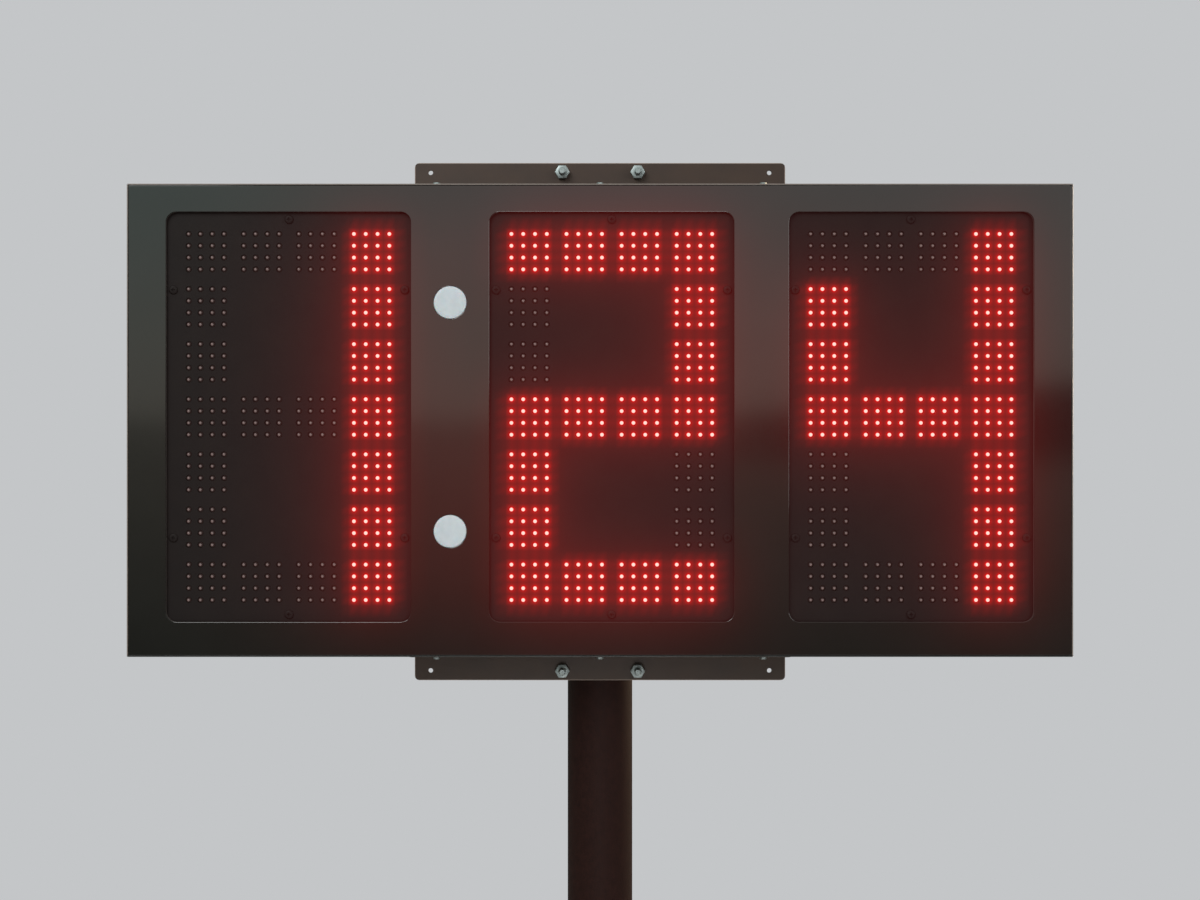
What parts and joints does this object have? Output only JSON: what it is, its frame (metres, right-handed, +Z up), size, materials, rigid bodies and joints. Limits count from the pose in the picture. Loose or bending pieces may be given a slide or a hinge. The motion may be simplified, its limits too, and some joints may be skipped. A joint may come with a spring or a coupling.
{
  "type": "pitch clock",
  "caption": "Outdoor LED pitch clock: a shallow sheet-metal cabinet with digit windows and a colon, clamped by U-bolts and angles to a round pole on a base plate.",
  "frame": {"origin": "centre of the base plate's underside, on the pole's axis", "axes": "+Z up along the pole, -Y the way the display faces, +X to the viewer's right"},
  "size_m": [1.2192, 0.3556, 1.8991],
  "materials": {
    "stand_coat": "fine-textured dark bronze powder coat on steel",
    "cabinet_coat": "semi-gloss dark bronze powder coat on aluminium sheet",
    "bracket_coat": "brown-grey powder coat on steel",
    "mask_coat": "matte black-brown",
    "zinc": "dull zinc plating",
    "bare_aluminium": "mill finish",
    "lit_led": "lit red epoxy",
    "unlit_led": "unlit diffused epoxy",
    "diffuser": "white diffusing acrylic",
    "circuit_board": "green solder mask on glass epoxy",
    "black_plastic": "moulded, fine matte",
    "rubber": "matte black",
    "nylon": "moulded nylon"
  },
  "bodies": {
    "stand": {"base_plate": "stand_coat", "pole": "stand_coat", "pole_cap": "stand_coat"},
    "clock_head": {"top_mounting_angle": "bracket_coat", "bottom_mounting_angle": "bracket_coat", "top_u_bolt": "zinc", "bottom_u_bolt": "zinc", "top_clamp_nut_left": "zinc", "top_clamp_nut_right": "zinc", "bottom_clamp_nut_left": "zinc", "bottom_clamp_nut_right": "zinc", "top_angle_bolt_left": "zinc", "top_angle_bolt_middle": "zinc", "top_angle_bolt_right": "zinc", "bottom_angle_bolt_left": "zinc", "bottom_angle_bolt_middle": "zinc", "bottom_angle_bolt_right": "zinc", "top_rail": "cabinet_coat", "bottom_rail": "cabinet_coat", "left_rail": "cabinet_coat", "right_rail": "cabinet_coat", "face_sheet": "cabinet_coat", "back_panel": "cabinet_coat", "drain_plug_left": "nylon", "drain_plug_right": "nylon", "left_strut": "bare_aluminium", "right_strut": "bare_aluminium", "colon_lens_upper": "diffuser", "colon_lens_lower": "diffuser", "colon_lamp_upper": "circuit_board", "colon_lamp_lower": "circuit_board", "power_supply": "bare_aluminium", "terminal_block": "black_plastic", "controller_board": "circuit_board", "radio_receiver": "black_plastic", "cable_gland": "nylon", "switch_body": "black_plastic", "aerial_holder": "zinc", "left_window_frame": "bare_aluminium", "left_gasket": "rubber", "left_mask": "mask_coat", "left_led_board": "circuit_board", "left_lit_leds": "lit_led", "middle_window_frame": "bare_aluminium", "middle_gasket": "rubber", "middle_mask": "mask_coat", "middle_led_board": "circuit_board", "middle_lit_leds": "lit_led", "right_window_frame": "bare_aluminium", "right_gasket": "rubber", "right_mask": "mask_coat", "right_led_board": "circuit_board", "right_lit_leds": "lit_led", "left_unlit_leds": "unlit_led", "middle_unlit_leds_1": "unlit_led", "middle_unlit_leds_2": "unlit_led", "right_unlit_leds_1": "unlit_led", "right_unlit_leds_2": "unlit_led"},
    "rocker": {"switch_rocker": "nylon"},
    "aerial": {"aerial_whip": "rubber"}
  },
  "joints": [
    {"name": "head_swivel", "type": "hinge", "parent": "stand", "child": "clock_head", "pos_m": [0, 0, 1.55], "axis": [0, 0, 1], "range_deg": [-180, 180]},
    {"name": "switch_rock", "type": "hinge", "parent": "clock_head", "child": "rocker", "pos_m": [-0.17, -0.04845, 1.31], "axis": [1, 0, 0], "range_deg": [-18, 0]},
    {"name": "aerial_fold", "type": "hinge", "parent": "clock_head", "child": "aerial", "pos_m": [0.11, -0.01745, 1.31], "axis": [1, 0, 0], "range_deg": [-90, 0]}
  ]
}
